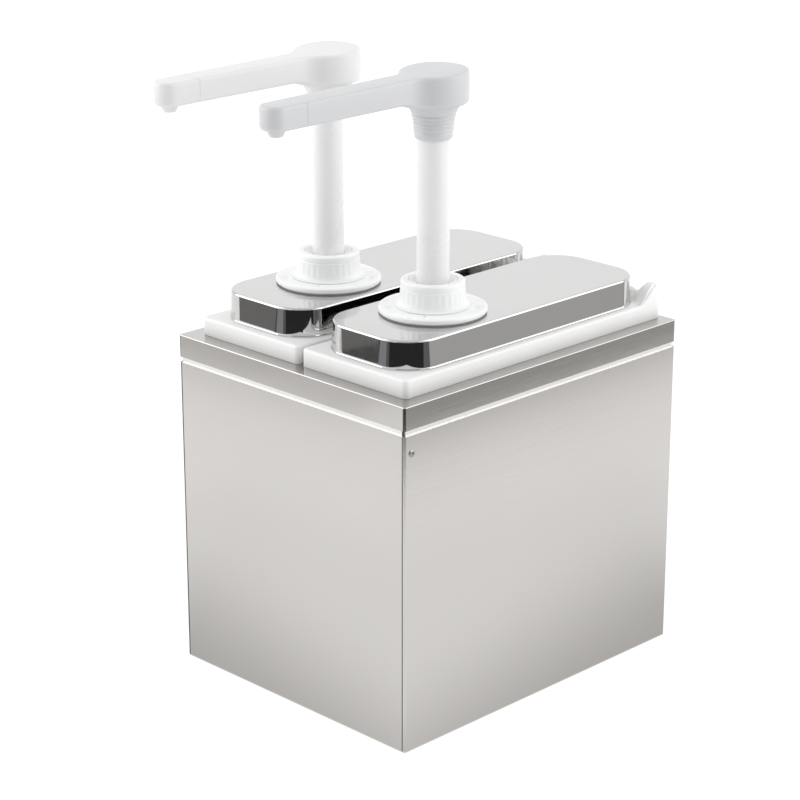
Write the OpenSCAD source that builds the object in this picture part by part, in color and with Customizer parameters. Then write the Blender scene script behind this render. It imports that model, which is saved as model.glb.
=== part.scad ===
// Twin condiment pump dispenser: a stainless steel case with two lift-out containers,
// each closed by a steel lid that carries a push-down pump with a swivelling spout.
// Millimetres. Origin: centre of the case's underside. +Z up, spouts point along -Y.

/* [Case] */
// Outside width of the case
case_w = 197.5; // [190:0.5:204]
// Outside depth of the case
case_d = 242; // [238:0.5:250]
// Height of the body panels
body_h = 199.5; // [190:0.5:205]
// Height of the recessed groove between the body and the rim
groove_h = 3; // [1:0.5:5]
// Height of the top rim band
rim_h = 14.5; // [10:0.5:18]
// Thickness of the case sheet
sheet_t = 1; // [0.8:0.1:1.2]
// Thickness of the rim's top plate
plate_t = 1.2; // [1:0.1:2]
// Outside bend radius of the vertical corners
corner_r = 2; // [2:0.5:5]
// Width of the side wrap's return onto the front face
return_w = 2; // [2:0.5:6]

/* [Containers] */
// Distance of each container's centre from the middle of the case
unit_x = 45.2; // [44.5:0.1:46.5]
// Outside width of a container's flange
flange_w = 87.5; // [86:0.5:88]
// Front end of the flange, from the middle of the case
flange_front = 110.5; // [108:0.5:114]
// Back end of the flange, from the middle of the case
flange_back = 117.5; // [114:0.5:119]
// Height of the flange above the rim
flange_h = 11.4; // [8:0.1:14]
// Wall of the tub
tub_wall = 2.5; // [2:0.1:3]
// Height of the tub's underside above the table
tub_floor_z = 12; // [8:1:40]
// Height of the locating lip above the flange
lip_h = 6; // [3:0.5:8]
// Height of the back ears above the flange
ear_h = 11.5; // [9:0.5:14]

/* [Lids] */
// Width of a lid
lid_w = 77.2; // [74:0.1:80]
// Length of a lid
lid_len = 212; // [205:0.5:214]
// Distance of the lid's middle behind the middle of the case
lid_y = 2.4; // [0:0.1:4]
// Height of a lid
lid_h = 18.1; // [15:0.1:22]
// Corner radius of a lid
lid_r = 24.5; // [20:0.5:28]
// Thickness of the lid sheet
lid_t = 0.9; // [0.7:0.1:1.2]

/* [Pump body] */
// Distance of the pump's axis in front of the middle of the case
pump_y = 43.7; // [42:0.1:50]
// Diameter of the pump's base flange
base_d = 65.4; // [60:0.1:68]
// Outside diameter of the threaded neck
neck_d = 34; // [32:0.5:35]
// Diameter of the ribbed collar at its foot
collar_d1 = 41; // [40:0.1:43]
// Diameter of the ribbed collar at its top
collar_d2 = 38.6; // [38:0.1:40]
// Height of the ribbed collar
collar_h = 16; // [15:0.5:18]
// Number of grip ribs round the collar
rib_count = 30; // [18:1:36]
// Bore of the pump cylinder
bore_d = 22.4; // [21.6:0.1:23]
// Outside diameter of the pump cylinder
cylinder_d = 26; // [25:0.1:26.4]
// Height of the cylinder's floor above the table
cylinder_floor_z = 115; // [110:1:122]
// Outside diameter of the dip tube
dip_d = 15; // [14:0.5:18]
// Gap between the dip tube and the container's floor
dip_gap = 5.5; // [3:0.5:12]

/* [Moving pump parts] */
// Outside diameter of the stem tube
stem_d = 19.6; // [18:0.1:20]
// Bore of the stem tube
stem_bore = 12; // [10:0.5:13]
// Travel of the pump
stroke = 82; // [60:1:82]
// Height of the visible stem between the collar and the lock plug
stem_show = 85.3; // [84:0.1:90]
// Wire diameter of the return spring
wire_d = 1.6; // [1:0.1:1.7]
// Turns of the return spring
spring_turns = 11; // [8:1:11]
// Diameter of the lock plug at its top
plug_d1 = 30.9; // [28:0.1:34]
// Diameter of the lock plug at its foot
plug_d2 = 22.8; // [22:0.1:26]
// Height of the lock plug
plug_h = 21.3; // [18:0.1:24]

/* [Spout head] */
// Diameter of the round head
head_d = 41.4; // [38:0.1:44]
// Height of the round head
head_h = 18.5; // [16:0.5:22]
// Distance from the pump's axis to the nozzle
reach = 123.3; // [110:0.1:130]
// Width of the arm
arm_w = 17.5; // [15:0.5:20]
// Height of the arm's underside above the head's underside
arm_lift = 3.7; // [2:0.1:5]
// Drop of the arm's top from the head to its tip
arm_drop = 1.4; // [0:0.1:3]
// Length of the end cap
cap_len = 24.8; // [20:0.1:34]
// Bore of the arm's passage
passage_d = 8; // [6:0.5:9]
// Bore of the nozzle
nozzle_d = 6; // [4:0.5:6.5]

/* [Hidden] */
$fn = 64;
UNITS = ["left", "right"];
CASE_NODES = ["base_pan", "case_wrap", "front_panel", "neck_frame", "top_rim", "rivets"];
UNIT_PARTS = ["container", "lid", "base_gasket", "pump_base", "lock_nut", "cylinder_gasket", "cylinder",
    "stem_guide", "collar", "foot_valve", "inlet_ball", "dip_tube", "return_spring", "piston",
    "piston_seal", "outlet_ball", "stem", "lock_plug", "spout_head", "arm_end_cap", "nozzle_tip"];

eps = 0.01;
cut = 1;             // how far a cutter reaches past a face
fit = 0.05;          // radial clearance of a running fit
slip = 0.6;          // clearance round a lid or a tub

// Case
rim_z0 = body_h + groove_h;
rim_z = rim_z0 + rim_h;
inner_w = case_w - 2 * sheet_t;
inner_d = case_d - 2 * sheet_t;
pan_flange_h = 15;
neck_gap = 0.1;
neck_depth = 18;
seam_w = 0.3;
rivet_z = body_h - 11;
rivet_y = -case_d / 2 + 5.7;
rivet_shank_d = 3.2;
rivet_head_d = 4.6;
rivet_head_h = 0.8;
rivet_reach = 8;
notch_depth = 0.4;

// Containers
flange_len = flange_front + flange_back;
flange_y = (flange_back - flange_front) / 2;
flange_r = 3.5;
flange_t = 2.2;
deck_z = rim_z + flange_h;
tub_w = lid_w - 2 * lid_t - 2 * slip;
tub_len = lid_len - 2 * lid_t - 2 * slip;
tub_r = lid_r - lid_t - slip;
opening_clear = 1.7;

// Raised lip along a container's back edge: an ear at each end, a low wave between them
lip_t = 4;
lip_inset = 0.4;
ear_w = 21;
ear_peak = 7.5;
ear_side = 8.2;
wave_h = 5;
wave_flat = 20;
wave_end = 34;

// Lids
lid_z = deck_z + lid_h;
bead_w = 0.8;
bead_h = 1.2;
vent_d = 2.4;
vent_r = 25;
vent_angle = -57;
hole_slip = 0.5;

// Pump body, heights from the lid up
gasket_t = 0.8;
base_z = lid_z + gasket_t;
base_t = 3.2;
base_crown = 0.6;
neck_top = base_z + 10.7;
neck_foot = lid_z - 11.5;
neck_bore = cylinder_d + 0.4;
lock_nut_h = 8;
lock_nut_d = 42;
lug_count = 6;
lug_size = [5, 6];
cyl_flange_t = 2;
cyl_flange_d = neck_d - 1;
cyl_top = neck_top + gasket_t + cyl_flange_t;
guide_flange_t = 1.8;
guide_sleeve_h = 10;
guide_top = cyl_top + guide_flange_t;
collar_z = base_z + base_t + base_crown / 3;
collar_top = collar_z + collar_h;
recess_d = 29.2;
guide_drop = 0.6;
dish_h = 2.4;
rib_r = 1.5;
rib_depth = 1;
band_h = 3.4;
dimple_d = 9;
dimple_depth = 0.7;
dimple_r = 26.3;
dimple_angles = [-120, 30];

// Cylinder foot and valves
floor_t = 3;
valve_d = 18;
valve_z = cylinder_floor_z - 8;
valve_throat = 6;
spigot_d = 12;
chamber_d = 10.4;
cage_lip = 0.5;
seat_h = 3;
inlet_ball_d = 9;
inlet_ball_z = valve_z + 3.6;
barb_h = 12;
dip_slope = 20;
dip_joint = 0.1;
dip_bottom = tub_floor_z + tub_wall + dip_gap;

// Piston; at the end of its travel the spring is spring_solid long
spring_solid = 21;
piston_d = bore_d - 0.4;
piston_z = cylinder_floor_z + floor_t + stroke + spring_solid;
piston_h = 16;
seal_z = piston_z + 6;
seal_h = 5;
seal_root_d = 18.8;
outlet_throat = 4.8;
outlet_chamber_d = 8.4;
outlet_chamber_h = 9.5;
outlet_seat_z = piston_z + 3;
outlet_seat_h = 2.5;
outlet_ball_d = 7.2;
outlet_ball_z = outlet_seat_z + 2.9;
swivel_neck_h = 12;

// Spring
spring_r = (bore_d - wire_d) / 2 - 1;
spring_z0 = cylinder_floor_z + floor_t;
spring_len = piston_z - spring_z0;
ring_sides = 6;
steps_per_turn = 14;

// Lock plug, heights above its foot
plug_z = collar_top + stem_show;
plug_edge_h = 1.2;
plug_skirt_h = 5;
plug_waist_h = 13;
plug_waist_d = plug_d1 - 5;
plug_ring_zs = [5.6, 8.6, 11.4];
plug_ring_h = 1.2;
plug_ring_out = 1.2;
plug_ring_grow = 0.25;

// Head
head_z = plug_z + plug_h;
head_top = head_z + head_h;
arm_z = head_z + arm_lift;
arm_top = head_top - 0.4;
neck_blend = 2;
top_blend = 1;
socket_h = 7.7;
end_gap = 0.2;
stem_top = head_z + socket_h - end_gap;
passage_z = head_z + 11.2;
tip_r = arm_w / 2;
tip_over = 0.2;
tip_y = -reach - tip_over;
cap_y = tip_y - tip_r + cap_len;
cap_spigot_d = 10.8;
cap_spigot_len = 8;
nozzle_h = 4.6;
nozzle_d1 = 10.8;
nozzle_d2 = 7.6;
nozzle_spigot_d = 8.8;
nozzle_spigot_h = 3;

STEEL = [0.76, 0.75, 0.73];
POLISHED = [0.86, 0.87, 0.88];
WHITE = [0.93, 0.93, 0.92];
NATURAL = [0.88, 0.89, 0.88];
SEAL = [0.35, 0.36, 0.38];
HEAD_COLOURS = [[0.95, 0.95, 0.95], [0.83, 0.84, 0.85]];

// Outline shared by the case, containers and lids: a rectangle with round corners
module round_rect(w, d, r) {
    union() {
        square([w - 2 * r, d], center = true);
        square([w, d - 2 * r], center = true);
        for (sx = [-1, 1])
            for (sy = [-1, 1])
                translate([sx * (w / 2 - r), sy * (d / 2 - r)])
                    circle(r = r);
    }
}

module round_block(w, d, r, z0, z1) {
    translate([0, 0, z0])
        linear_extrude(z1 - z0)
            round_rect(w, d, r);
}

module round_shell(w, d, r, t, z0, z1) {
    translate([0, 0, z0])
        linear_extrude(z1 - z0)
            difference() {
                round_rect(w, d, r);
                round_rect(w - 2 * t, d - 2 * t, max(r - t, 0.5));
            }
}

module tube(d1, d2, z0, z1) {
    difference() {
        translate([0, 0, z0])
            cylinder(d = d1, h = z1 - z0);
        translate([0, 0, z0 - cut])
            cylinder(d = d2, h = z1 - z0 + 2 * cut);
    }
}

// Places a unit's part, modelled about x = 0: 0 is the left unit, 1 the right
module at_unit(side) {
    translate([side == 0 ? -unit_x : unit_x, 0, 0])
        children();
}

// Places a part modelled about its pump's axis
module at_pump(side) {
    at_unit(side)
        translate([0, -pump_y, 0])
            children();
}

module rivet_holes() {
    for (sx = [-1, 1])
        translate([sx * case_w / 2, rivet_y, rivet_z])
            rotate([0, 90, 0])
                cylinder(d = rivet_shank_d + 2 * fit, h = rivet_reach, center = true);
}

// ---- Case ----

module base_pan() {
    color(STEEL)
        union() {
            round_block(inner_w, inner_d, corner_r - sheet_t, 0, sheet_t);
            round_shell(inner_w, inner_d, corner_r - sheet_t, sheet_t, 0, pan_flange_h);
        }
}

module case_wrap() {
    color(STEEL)
        difference() {
            round_shell(case_w, case_d, corner_r, sheet_t, 0, body_h);
            translate([-case_w / 2 + return_w, -case_d / 2 - cut, -cut])
                cube([case_w - 2 * return_w, sheet_t + 1.5 * cut, body_h + 2 * cut]);
            rivet_holes();
        }
}

module front_panel() {
    panel_w = case_w - 2 * return_w - 2 * seam_w;
    color(STEEL)
        translate([-panel_w / 2, -case_d / 2, 0])
            cube([panel_w, sheet_t, body_h]);
}

module neck_frame() {
    color(STEEL)
        difference() {
            round_shell(inner_w - 2 * neck_gap, inner_d - 2 * neck_gap, corner_r - sheet_t, sheet_t,
                body_h - neck_depth, rim_z - plate_t);
            rivet_holes();
        }
}

module top_rim() {
    color(STEEL)
        difference() {
            union() {
                round_block(case_w, case_d, corner_r, rim_z - plate_t, rim_z);
                round_shell(case_w, case_d, corner_r, sheet_t, rim_z0, rim_z - plate_t / 2);
            }
            for (side = [0, 1])
                at_unit(side)
                    translate([0, lid_y, 0])
                        round_block(tub_w + 2 * opening_clear, tub_len + 2 * opening_clear,
                            tub_r + opening_clear, rim_z - plate_t - cut, rim_z + cut);
            for (sx = [-1, 1])
                translate([sx * (case_w / 2 - return_w), -case_d / 2, rim_z0 - cut])
                    cube([seam_w, 2 * notch_depth, 2 * rim_h], center = true);
        }
}

module rivets() {
    color(POLISHED)
        for (sx = [-1, 1])
            translate([sx * case_w / 2, rivet_y, rivet_z])
                rotate([0, sx * 90, 0])
                    union() {
                        cylinder(d = rivet_head_d, h = rivet_head_h);
                        translate([0, 0, -2 * sheet_t - neck_gap])
                            cylinder(d = rivet_shank_d, h = 2 * sheet_t + neck_gap + eps);
                        translate([0, 0, -2 * sheet_t - neck_gap - rivet_head_h])
                            cylinder(d = rivet_head_d, h = rivet_head_h);
                    }
}

// ---- Containers and lids ----

// Height of the back lip above the flange, at a distance in from the flange's side
function ear_height(inward) = inward < ear_peak
    ? ear_side + (ear_h - ear_side) * sqrt(1 - pow(1 - inward / ear_peak, 2))
    : ear_h * (1 + cos(180 * min(1, (inward - ear_peak) / (ear_w - ear_peak)))) / 2;
function wave_height(x) = let (run = (abs(x) - wave_flat) / (wave_end - wave_flat))
    wave_h * (1 + cos(180 * max(0, min(1, run)))) / 2;

// Outline of the back lip, seen along the container, from the middle of the flange plate up
module back_lip_outline() {
    half = flange_w / 2 - lip_inset;
    foot = -tub_wall / 2;
    inwards = [0, 0.3, 1.1, 2.5, 4.6, 7.5, 9.5, 11.5, 13.5, 15.5, 17.5, 19.5, 23.8];
    side = [for (u = inwards) [half - u, max(ear_height(u), wave_height(half - u))]];
    polygon(concat([[-half, foot], [half, foot]], side,
        [for (i = [len(side) - 1 : -1 : 0]) [-side[i][0], side[i][1]]]));
}

module back_lip() {
    intersection() {
        translate([0, flange_back + cut, deck_z])
            rotate([90, 0, 0])
                linear_extrude(lip_t + cut)
                    back_lip_outline();
        translate([0, flange_y, 0])
            round_block(flange_w - 2 * lip_inset, flange_len - 2 * lip_inset, flange_r - lip_inset,
                rim_z, deck_z + ear_h + cut);
    }
}

module container(side) {
    mid_wall = tub_wall / 2;
    color(WHITE)
        at_unit(side)
            union() {
                translate([0, lid_y, 0])
                    difference() {
                        round_block(tub_w, tub_len, tub_r, tub_floor_z, deck_z + lip_h);
                        round_block(tub_w - 2 * tub_wall, tub_len - 2 * tub_wall, tub_r - tub_wall,
                            tub_floor_z + tub_wall, deck_z + lip_h + cut);
                    }
                difference() {
                    translate([0, flange_y, 0])
                        union() {
                            round_block(flange_w, flange_len, flange_r, deck_z - tub_wall, deck_z);
                            round_shell(flange_w, flange_len, flange_r, flange_t, rim_z, deck_z - mid_wall);
                        }
                    translate([0, lid_y, 0])
                        round_block(tub_w - 2 * mid_wall, tub_len - 2 * mid_wall, tub_r - mid_wall,
                            rim_z - cut, deck_z + cut);
                }
                back_lip();
            }
}

module vent_hole(z0, z1) {
    rotate([0, 0, vent_angle])
        translate([vent_r, 0, z0])
            cylinder(d = vent_d, h = z1 - z0);
}

module lid(side) {
    color(POLISHED)
        difference() {
            at_unit(side)
                translate([0, lid_y, 0])
                    union() {
                        round_block(lid_w, lid_len, lid_r, lid_z - lid_t, lid_z);
                        round_shell(lid_w, lid_len, lid_r, lid_t, deck_z, lid_z - lid_t / 2);
                        round_shell(lid_w + 2 * bead_w, lid_len + 2 * bead_w, lid_r + bead_w,
                            bead_w + lid_t / 2, deck_z, deck_z + bead_h);
                    }
            at_pump(side) {
                translate([0, 0, lid_z - lid_t - cut])
                    cylinder(d = neck_d + 2 * hole_slip, h = lid_t + 2 * cut);
                vent_hole(lid_z - lid_t - cut, lid_z + cut);
            }
        }
}

// ---- Pump body ----

module base_gasket(side) {
    color(SEAL)
        at_pump(side)
            difference() {
                tube(base_d - 4, neck_d + 0.4, lid_z, base_z);
                vent_hole(lid_z - cut, base_z + cut);
            }
}

module pump_base(side) {
    color(WHITE)
        at_pump(side)
            difference() {
                union() {
                    translate([0, 0, base_z])
                        cylinder(d = base_d, h = base_t);
                    translate([0, 0, base_z + base_t])
                        cylinder(d1 = base_d - 4, d2 = collar_d1 + 1, h = base_crown / 3);
                    translate([0, 0, neck_foot])
                        cylinder(d = neck_d, h = neck_top - neck_foot);
                }
                translate([0, 0, neck_foot - cut])
                    cylinder(d = neck_bore, h = neck_top - neck_foot + 2 * cut);
                vent_hole(base_z - cut, base_z + base_t + 2 * cut);
                for (a = dimple_angles)
                    rotate([0, 0, a])
                        translate([dimple_r, 0, base_z + base_t - dimple_depth])
                            cylinder(d = dimple_d, h = dimple_depth + 2 * cut);
            }
}

module lock_nut(side) {
    z0 = lid_z - lid_t - lock_nut_h;
    color(WHITE)
        at_pump(side)
            difference() {
                union() {
                    translate([0, 0, z0])
                        cylinder(d = lock_nut_d, h = lock_nut_h);
                    for (i = [0 : lug_count - 1])
                        rotate([0, 0, i * 360 / lug_count])
                            translate([lock_nut_d / 2, 0, z0 + lock_nut_h / 2])
                                cube([lug_size[0], lug_size[1], lock_nut_h], center = true);
                }
                translate([0, 0, z0 - cut])
                    cylinder(d = neck_d + 2 * fit, h = lock_nut_h + 2 * cut);
            }
}

module cylinder_gasket(side) {
    color(SEAL)
        at_pump(side)
            tube(cyl_flange_d, neck_bore, neck_top, neck_top + gasket_t);
}

module pump_cylinder(side) {
    color(NATURAL)
        at_pump(side)
            difference() {
                union() {
                    translate([0, 0, cylinder_floor_z])
                        cylinder(d = cylinder_d, h = cyl_top - cylinder_floor_z);
                    translate([0, 0, cyl_top - cyl_flange_t])
                        cylinder(d = cyl_flange_d, h = cyl_flange_t);
                }
                translate([0, 0, cylinder_floor_z + floor_t])
                    cylinder(d = bore_d, h = cyl_top - cylinder_floor_z);
                translate([0, 0, cylinder_floor_z - cut])
                    cylinder(d = spigot_d + 2 * fit, h = floor_t + 2 * cut);
            }
}

module stem_guide(side) {
    color(WHITE)
        at_pump(side)
            difference() {
                union() {
                    translate([0, 0, cyl_top - guide_sleeve_h])
                        cylinder(d = bore_d - 2 * fit, h = guide_sleeve_h + eps);
                    translate([0, 0, cyl_top])
                        cylinder(d = cyl_flange_d, h = guide_flange_t);
                    translate([0, 0, guide_top])
                        cylinder(d = recess_d - 2 * fit, h = collar_top - guide_top - guide_drop);
                }
                translate([0, 0, cyl_top - guide_sleeve_h - cut])
                    cylinder(d = stem_d + 2 * fit, h = collar_top - cyl_top + guide_sleeve_h + 2 * cut);
                translate([0, 0, collar_top - dish_h])
                    cylinder(d1 = stem_d, d2 = recess_d + 2, h = dish_h);
            }
}

module collar(side) {
    color(WHITE)
        at_pump(side)
            difference() {
                translate([0, 0, collar_z])
                    cylinder(d1 = collar_d1, d2 = collar_d2, h = collar_h);
                translate([0, 0, collar_z - cut])
                    cylinder(d = neck_d + 2 * fit, h = guide_top - collar_z + cut);
                translate([0, 0, collar_z])
                    cylinder(d = recess_d, h = collar_h + cut);
                for (i = [0 : rib_count - 1])
                    rotate([0, 0, i * 360 / rib_count])
                        translate([collar_d1 / 2 + rib_r - rib_depth, 0, collar_z - cut])
                            cylinder(r = rib_r, h = collar_h - band_h + cut);
            }
}

module foot_valve(side) {
    color(WHITE)
        at_pump(side)
            difference() {
                union() {
                    translate([0, 0, valve_z])
                        cylinder(d = valve_d, h = cylinder_floor_z - valve_z);
                    translate([0, 0, cylinder_floor_z - eps])
                        cylinder(d = spigot_d, h = floor_t + eps);
                    translate([0, 0, valve_z - barb_h])
                        cylinder(d = spigot_d - 2 * fit, h = barb_h + eps);
                }
                translate([0, 0, valve_z - barb_h - cut])
                    cylinder(d = valve_throat, h = barb_h + 2 * cut);
                translate([0, 0, valve_z])
                    cylinder(d1 = valve_throat, d2 = chamber_d, h = seat_h);
                translate([0, 0, valve_z + seat_h - eps])
                    cylinder(d = chamber_d, h = cylinder_floor_z + floor_t - cage_lip - valve_z - seat_h);
                translate([0, 0, cylinder_floor_z])
                    cylinder(d = inlet_ball_d - 2 * cage_lip, h = floor_t + cut);
            }
}

module inlet_ball(side) {
    color(POLISHED)
        at_pump(side)
            translate([0, 0, inlet_ball_z])
                sphere(d = inlet_ball_d);
}

module dip_tube(side) {
    color(NATURAL)
        at_pump(side)
            difference() {
                tube(dip_d, spigot_d, dip_bottom, valve_z - dip_joint);
                translate([0, 0, dip_bottom])
                    rotate([dip_slope, 0, 0])
                        translate([-dip_d, -dip_d, -2 * dip_d])
                            cube([2 * dip_d, 2 * dip_d, 2 * dip_d]);
            }
}

// Point of the spring's wire: turn angle a, angle b round the wire
function spring_point(a, b) = let (
        run = a / (360 * spring_turns),
        r = spring_r + wire_d / 2 * cos(b),
        z = spring_z0 + wire_d / 2 + run * (spring_len - wire_d) + wire_d / 2 * sin(b)
    ) [r * cos(a), r * sin(a), z];

module return_spring(side) {
    steps = spring_turns * steps_per_turn;
    points = [for (i = [0 : steps]) for (k = [0 : ring_sides - 1])
        spring_point(i * 360 / steps_per_turn, k * 360 / ring_sides)];
    walls = [for (i = [0 : steps - 1]) for (k = [0 : ring_sides - 1])
        let (a = i * ring_sides, n = (k + 1) % ring_sides)
            [a + k, a + n, a + ring_sides + n, a + ring_sides + k]];
    ends = [[for (k = [ring_sides - 1 : -1 : 0]) k],
        [for (k = [0 : ring_sides - 1]) steps * ring_sides + k]];
    color(POLISHED)
        at_pump(side)
            polyhedron(points, concat(walls, ends));
}

// ---- Moving pump parts ----

module piston(side) {
    color(WHITE)
        at_pump(side)
            difference() {
                union() {
                    translate([0, 0, piston_z])
                        cylinder(d = piston_d, h = piston_h);
                    translate([0, 0, piston_z + piston_h - eps])
                        cylinder(d = stem_bore - 2 * fit, h = swivel_neck_h + eps);
                }
                tube(piston_d + 2, seal_root_d, seal_z, seal_z + seal_h);
                translate([0, 0, piston_z - cut])
                    cylinder(d = outlet_throat, h = piston_h + swivel_neck_h + 2 * cut);
                translate([0, 0, outlet_seat_z])
                    cylinder(d1 = outlet_throat, d2 = outlet_chamber_d, h = outlet_seat_h);
                translate([0, 0, outlet_seat_z + outlet_seat_h - eps])
                    cylinder(d = outlet_chamber_d, h = outlet_chamber_h);
            }
}

module piston_seal(side) {
    color(SEAL)
        at_pump(side)
            tube(bore_d - 2 * fit, seal_root_d, seal_z, seal_z + seal_h);
}

module outlet_ball(side) {
    color(POLISHED)
        at_pump(side)
            translate([0, 0, outlet_ball_z])
                sphere(d = outlet_ball_d);
}

module stem(side) {
    color(WHITE)
        at_pump(side)
            tube(stem_d, stem_bore, piston_z + piston_h, stem_top);
}

// Tapered plug with three rings, which screws into the collar to lock the pump down
module lock_plug(side) {
    color(HEAD_COLOURS[side])
        at_pump(side)
            difference() {
                translate([0, 0, plug_z])
                    union() {
                        cylinder(d1 = plug_d2 - 2 * plug_edge_h, d2 = plug_d2, h = plug_edge_h);
                        translate([0, 0, plug_edge_h])
                            cylinder(d1 = plug_d2, d2 = plug_d2 + plug_ring_out,
                                h = plug_skirt_h - plug_edge_h);
                        translate([0, 0, plug_skirt_h])
                            cylinder(d1 = plug_d2, d2 = plug_waist_d, h = plug_waist_h - plug_skirt_h);
                        for (z = plug_ring_zs)
                            translate([0, 0, z])
                                cylinder(h = plug_ring_h,
                                    d = plug_d2 + plug_ring_out + (z - plug_ring_zs[0]) * plug_ring_grow);
                        translate([0, 0, plug_waist_h])
                            cylinder(d1 = plug_waist_d, d2 = plug_d1, h = plug_h - plug_waist_h);
                    }
                translate([0, 0, plug_z - cut])
                    cylinder(d = stem_d + 2 * fit, h = plug_h + 2 * cut);
            }
}

// Outside of the head, arm and tip together, about the pump's axis
module head_form() {
    intersection() {
        translate([0, 0, head_z])
            linear_extrude(head_h)
                union() {
                    circle(d = head_d);
                    translate([-arm_w / 2, tip_y])
                        square([arm_w, -tip_y]);
                    translate([0, tip_y])
                        circle(r = tip_r);
                }
        translate([-head_d, 0, 0])
            rotate([90, 0, 90])
                linear_extrude(2 * head_d)
                    polygon([
                        [head_d, head_z], [-head_d / 2, head_z], [-head_d / 2 - neck_blend, arm_z],
                        [tip_y - arm_w, arm_z], [tip_y - arm_w, arm_top - arm_drop],
                        [-head_d / 2 - neck_blend, arm_top], [-head_d / 2 + top_blend, head_top],
                        [head_d, head_top]
                    ]);
    }
}

module along_arm(d, y0, y1) {
    translate([0, y0, passage_z])
        rotate([90, 0, 0])
            cylinder(d = d, h = y0 - y1);
}

// Space past the seam between the arm and its end cap
module beyond_seam() {
    translate([-arm_w, cap_y - reach, head_z - head_h])
        cube([2 * arm_w, reach, 3 * head_h]);
}

module spout_head(side) {
    color(HEAD_COLOURS[side])
        at_pump(side)
            difference() {
                head_form();
                beyond_seam();
                translate([0, 0, head_z - cut])
                    cylinder(d = stem_d + 2 * fit, h = socket_h + cut);
                translate([0, 0, head_z])
                    cylinder(d = passage_d, h = passage_z - head_z);
                along_arm(passage_d, 0, cap_y - cut);
                along_arm(cap_spigot_d + 2 * fit, cap_y + cap_spigot_len + end_gap, cap_y - cut);
            }
}

module arm_end_cap(side) {
    color(HEAD_COLOURS[side])
        at_pump(side)
            difference() {
                union() {
                    intersection() {
                        head_form();
                        beyond_seam();
                    }
                    along_arm(cap_spigot_d, cap_y + cap_spigot_len, cap_y - cut);
                }
                along_arm(passage_d, cap_y + cap_spigot_len + cut, -reach);
                translate([0, -reach, arm_z - cut])
                    cylinder(d = nozzle_d, h = passage_z - arm_z + cut);
                translate([0, -reach, arm_z - cut])
                    cylinder(d = nozzle_spigot_d + 2 * fit, h = nozzle_spigot_h + fit + cut);
            }
}

module nozzle_tip(side) {
    color(HEAD_COLOURS[side])
        at_pump(side)
            translate([0, -reach, arm_z])
                difference() {
                    union() {
                        translate([0, 0, -nozzle_h])
                            cylinder(d1 = nozzle_d2, d2 = nozzle_d1, h = nozzle_h);
                        translate([0, 0, -eps])
                            cylinder(d = nozzle_spigot_d, h = nozzle_spigot_h + eps);
                    }
                    translate([0, 0, -nozzle_h - cut])
                        cylinder(d = nozzle_d, h = nozzle_h + nozzle_spigot_h + 2 * cut);
                }
}

base_pan();
case_wrap();
front_panel();
neck_frame();
top_rim();
rivets();
for (side = [0, 1]) {
    name = UNITS[side];
    container(side);
    lid(side);
    base_gasket(side);
    pump_base(side);
    lock_nut(side);
    cylinder_gasket(side);
    pump_cylinder(side);
    stem_guide(side);
    collar(side);
    foot_valve(side);
    inlet_ball(side);
    dip_tube(side);
    return_spring(side);
    piston(side);
    piston_seal(side);
    outlet_ball(side);
    stem(side);
    lock_plug(side);
    spout_head(side);
    arm_end_cap(side);
    nozzle_tip(side);
}
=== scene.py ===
import math

import bmesh
import bpy
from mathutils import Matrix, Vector


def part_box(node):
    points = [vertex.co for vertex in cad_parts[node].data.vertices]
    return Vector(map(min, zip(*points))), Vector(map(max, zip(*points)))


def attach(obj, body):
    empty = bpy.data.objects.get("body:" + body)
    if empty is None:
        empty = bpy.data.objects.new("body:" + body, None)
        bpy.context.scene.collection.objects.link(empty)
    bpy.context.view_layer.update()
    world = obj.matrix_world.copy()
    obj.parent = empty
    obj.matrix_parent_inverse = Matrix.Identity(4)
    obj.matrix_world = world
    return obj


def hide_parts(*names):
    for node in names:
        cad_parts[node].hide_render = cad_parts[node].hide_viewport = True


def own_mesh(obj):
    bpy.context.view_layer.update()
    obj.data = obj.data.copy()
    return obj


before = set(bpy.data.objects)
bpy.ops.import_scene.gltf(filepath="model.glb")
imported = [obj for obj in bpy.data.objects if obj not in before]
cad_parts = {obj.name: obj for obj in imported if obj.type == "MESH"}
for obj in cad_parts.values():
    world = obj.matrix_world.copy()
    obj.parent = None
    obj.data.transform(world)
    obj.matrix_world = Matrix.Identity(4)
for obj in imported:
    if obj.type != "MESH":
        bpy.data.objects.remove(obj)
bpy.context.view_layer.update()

MM = 0.001
UNITS = ("left", "right")


# ---- Places taken from the frame, in metres ----

def middle(name):
    low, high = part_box(name)
    return (low + high) / 2


class Unit:
    """Where one container, its lid and its pump are."""

    def __init__(self, side):
        self.side = side
        tub_low, tub_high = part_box(f"container_{side}")
        lid_low, lid_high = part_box(f"lid_{side}")
        pump = middle(f"stem_{side}")
        self.axis = Vector((pump.x, pump.y))
        self.centre_x = (tub_low.x + tub_high.x) / 2
        self.flange = (tub_low.x, tub_high.x, tub_low.y, tub_high.y)
        self.tub_floor = tub_low.z
        self.ear_top = tub_high.z
        self.deck = lid_low.z
        self.lid_top = lid_high.z
        self.lid = (lid_low.x, lid_high.x, lid_low.y, lid_high.y)
        self.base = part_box(f"pump_base_{side}")
        self.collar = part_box(f"collar_{side}")
        self.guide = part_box(f"stem_guide_{side}")
        self.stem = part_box(f"stem_{side}")
        self.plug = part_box(f"lock_plug_{side}")
        self.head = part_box(f"spout_head_{side}")
        self.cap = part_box(f"arm_end_cap_{side}")
        self.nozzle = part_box(f"nozzle_tip_{side}")
        self.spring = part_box(f"return_spring_{side}")


CASE_LOW, CASE_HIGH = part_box("case_wrap")
RIM_LOW, RIM_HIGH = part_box("top_rim")
PANEL_LOW, PANEL_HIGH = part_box("front_panel")
RIVETS_LOW, RIVETS_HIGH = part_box("rivets")

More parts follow.
